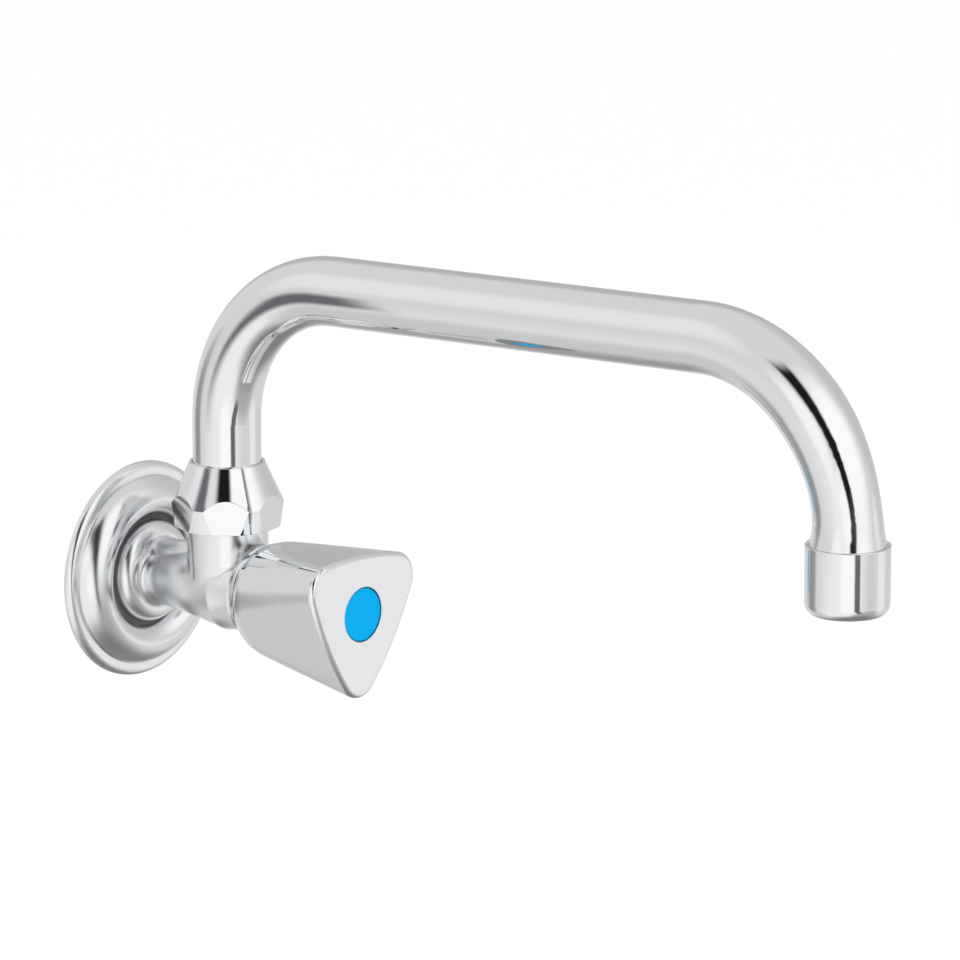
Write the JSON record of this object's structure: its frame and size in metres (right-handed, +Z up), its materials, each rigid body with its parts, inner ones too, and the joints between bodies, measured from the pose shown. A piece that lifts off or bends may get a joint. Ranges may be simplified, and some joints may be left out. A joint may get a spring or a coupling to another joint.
{
  "type": "commercial wall faucet",
  "caption": "Wall-mounted cold tap with a threaded inlet, round wall plate, three-sided handle, screw-down valve and a swivelling bent tube spout with an aerator.",
  "frame": {"origin": "centre of the inlet thread where it meets the wall plane", "axes": "+Z up; +Y along the inlet thread into the wall, so the tap stands out along -Y; +X to the right seen from the front"},
  "size_m": [0.0706, 0.3149, 0.154],
  "materials": {
    "chrome": "polished chrome plate",
    "brass": "turned brass",
    "steel": "stainless steel",
    "rubber": "black rubber",
    "white_plastic": "moulded white plastic",
    "fibre": "dark fibre gasket",
    "blue_plastic": "glossy blue plastic"
  },
  "bodies": {
    "tap_body": {"valve_body": "chrome", "wall_escutcheon": "chrome", "escutcheon_ring": "rubber", "union_nut": "chrome", "spout_slide_ring": "white_plastic", "bonnet": "brass", "bonnet_gasket": "fibre", "spindle_circlip": "steel"},
    "spout": {"spout_tube": "chrome", "spout_collar": "brass", "spout_o_rings": "rubber", "aerator_housing": "chrome", "aerator_gasket": "rubber", "aerator_insert": "white_plastic", "aerator_screen": "steel"},
    "handle": {"handle": "chrome", "spindle": "brass", "spline_bush": "white_plastic", "handle_screw": "steel", "index_cap": "blue_plastic", "spindle_o_rings": "rubber"},
    "piston": {"valve_piston": "brass", "valve_washer": "rubber", "washer_screw": "steel", "piston_o_ring": "rubber"}
  },
  "joints": [
    {"name": "spout_swivel", "type": "hinge", "parent": "tap_body", "child": "spout", "pos_m": [0, -0.0391, 0.032], "axis": [0, 0, 1], "range_deg": [-90, 90]},
    {"name": "handle_turn", "type": "hinge", "parent": "tap_body", "child": "handle", "pos_m": [0, -0.06, 0], "axis": [0, -1, 0], "range_deg": [0, 720]},
    {"name": "piston_slide", "type": "slide", "parent": "tap_body", "child": "piston", "axis": [0, -1, 0], "range_m": [0, 0.004]}
  ],
  "couplings": [
    {"joint": "piston_slide", "follows": "handle_turn", "m_per_rad": 0.0003183}
  ]
}
